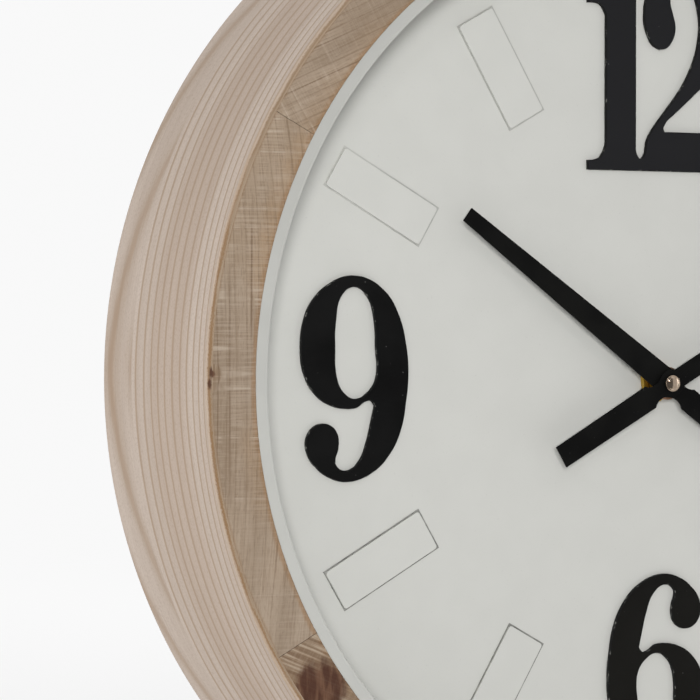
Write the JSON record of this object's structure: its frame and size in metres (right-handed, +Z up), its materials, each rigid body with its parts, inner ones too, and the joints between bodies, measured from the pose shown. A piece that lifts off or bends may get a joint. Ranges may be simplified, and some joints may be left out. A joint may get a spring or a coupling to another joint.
{
  "type": "wall clock",
  "caption": "Round wall clock in a deep flared wooden frame, with raised numerals and blank batons on a recessed white dial, plain black hands and a battery movement.",
  "frame": {"origin": "the wall hook: the end of the keyhole slot, on the wall plane", "axes": "+Z up, +Y into the wall, so that the dial faces -Y; +X to the right of a person who looks at the dial"},
  "size_m": [0.4, 0.0712, 0.4],
  "materials": {
    "hoop_wood": "pale weathered fir, fine grain along the bend",
    "stave_wood": "grey brown fir, rough sawn face with sanded edges",
    "white_paint": "off-white matt paint",
    "numeral_black": "matt black paint",
    "hand_black": "matt black paint",
    "cap_plating": "reddish gold plating",
    "brass": "bare yellow brass",
    "zinc_plate": "zinc plated",
    "rubber": "matt",
    "case_plastic": "fine textured",
    "wheel_plastic": "natural white",
    "magnet": "sintered, dark",
    "iron": "stamped sheet",
    "copper": "wound enamelled wire",
    "battery_jacket": "printed sleeve without lettering",
    "circuit_board": "green solder mask"
  },
  "bodies": {
    "clock": {"hoop": "hoop_wood", "stave_01": "stave_wood", "stave_03": "stave_wood", "stave_05": "stave_wood", "stave_07": "stave_wood", "stave_09": "stave_wood", "stave_11": "stave_wood", "recess_lining": "white_paint", "dial_board": "white_paint", "board_screw_01": "zinc_plate", "board_screw_03": "zinc_plate", "board_screw_05": "zinc_plate", "board_screw_07": "zinc_plate", "board_screw_09": "zinc_plate", "board_screw_11": "zinc_plate", "baton_01": "white_paint", "baton_02": "white_paint", "baton_04": "white_paint", "baton_05": "white_paint", "baton_07": "white_paint", "baton_08": "white_paint", "baton_10": "white_paint", "baton_11": "white_paint", "numeral_12": "numeral_black", "numeral_3": "numeral_black", "numeral_6": "numeral_black", "numeral_9": "numeral_black", "hanger_plate": "zinc_plate", "hanger_screw_left": "zinc_plate", "hanger_screw_right": "zinc_plate", "fixing_nut": "brass", "bushing": "brass", "gasket": "rubber", "case_front": "case_plastic", "case_back": "case_plastic", "battery": "battery_jacket", "contact_plus": "zinc_plate", "contact_minus": "zinc_plate", "stator": "iron", "coil_core": "iron", "coil": "copper", "circuit_board": "circuit_board", "quartz_crystal": "zinc_plate"},
    "minute_group": {"minute_hand": "hand_black", "cap_nut": "cap_plating", "minute_arbor": "zinc_plate"},
    "hour_group": {"hour_hand": "hand_black", "hour_collet": "cap_plating", "hour_wheel": "wheel_plastic"},
    "setting_group": {"minute_wheel": "wheel_plastic", "setting_knob": "wheel_plastic"},
    "centre_group": {"centre_wheel": "brass"},
    "third_group": {"third_wheel": "brass"},
    "second_group": {"second_wheel": "wheel_plastic"},
    "fifth_group": {"fifth_wheel": "wheel_plastic"},
    "rotor_group": {"rotor": "magnet"}
  },
  "joints": [
    {"name": "minute_turn", "type": "hinge", "parent": "clock", "child": "minute_group", "pos_m": [0, -0.0353, -0.19213], "axis": [0, 1, 0], "continuous": true},
    {"name": "hour_turn", "type": "hinge", "parent": "clock", "child": "hour_group", "pos_m": [0, -0.0353, -0.19213], "axis": [0, 1, 0], "continuous": true},
    {"name": "setting_turn", "type": "hinge", "parent": "clock", "child": "setting_group", "pos_m": [-0.0108, -0.0353, -0.19213], "axis": [0, 1, 0], "continuous": true},
    {"name": "second_turn", "type": "hinge", "parent": "clock", "child": "second_group", "pos_m": [0.00036, -0.0353, -0.18141], "axis": [0, 1, 0], "continuous": true},
    {"name": "third_turn", "type": "hinge", "parent": "clock", "child": "third_group", "pos_m": [0.00771, -0.0353, -0.18565], "axis": [0, 1, 0], "continuous": true},
    {"name": "centre_turn", "type": "hinge", "parent": "clock", "child": "centre_group", "pos_m": [0, -0.0353, -0.19213], "axis": [0, 1, 0], "continuous": true},
    {"name": "fifth_turn", "type": "hinge", "parent": "clock", "child": "fifth_group", "pos_m": [-0.00708, -0.0353, -0.17941], "axis": [0, 1, 0], "continuous": true},
    {"name": "rotor_turn", "type": "hinge", "parent": "clock", "child": "rotor_group", "pos_m": [-0.01308, -0.0353, -0.17941], "axis": [0, 1, 0], "continuous": true}
  ],
  "couplings": [
    {"joint": "hour_turn", "follows": "minute_turn", "ratio": 0.083333},
    {"joint": "setting_turn", "follows": "minute_turn", "ratio": -0.33333},
    {"joint": "third_turn", "follows": "second_turn", "ratio": -0.13333},
    {"joint": "centre_turn", "follows": "second_turn", "ratio": 0.016667},
    {"joint": "fifth_turn", "follows": "second_turn", "ratio": -6},
    {"joint": "rotor_turn", "follows": "second_turn", "ratio": 30}
  ]
}
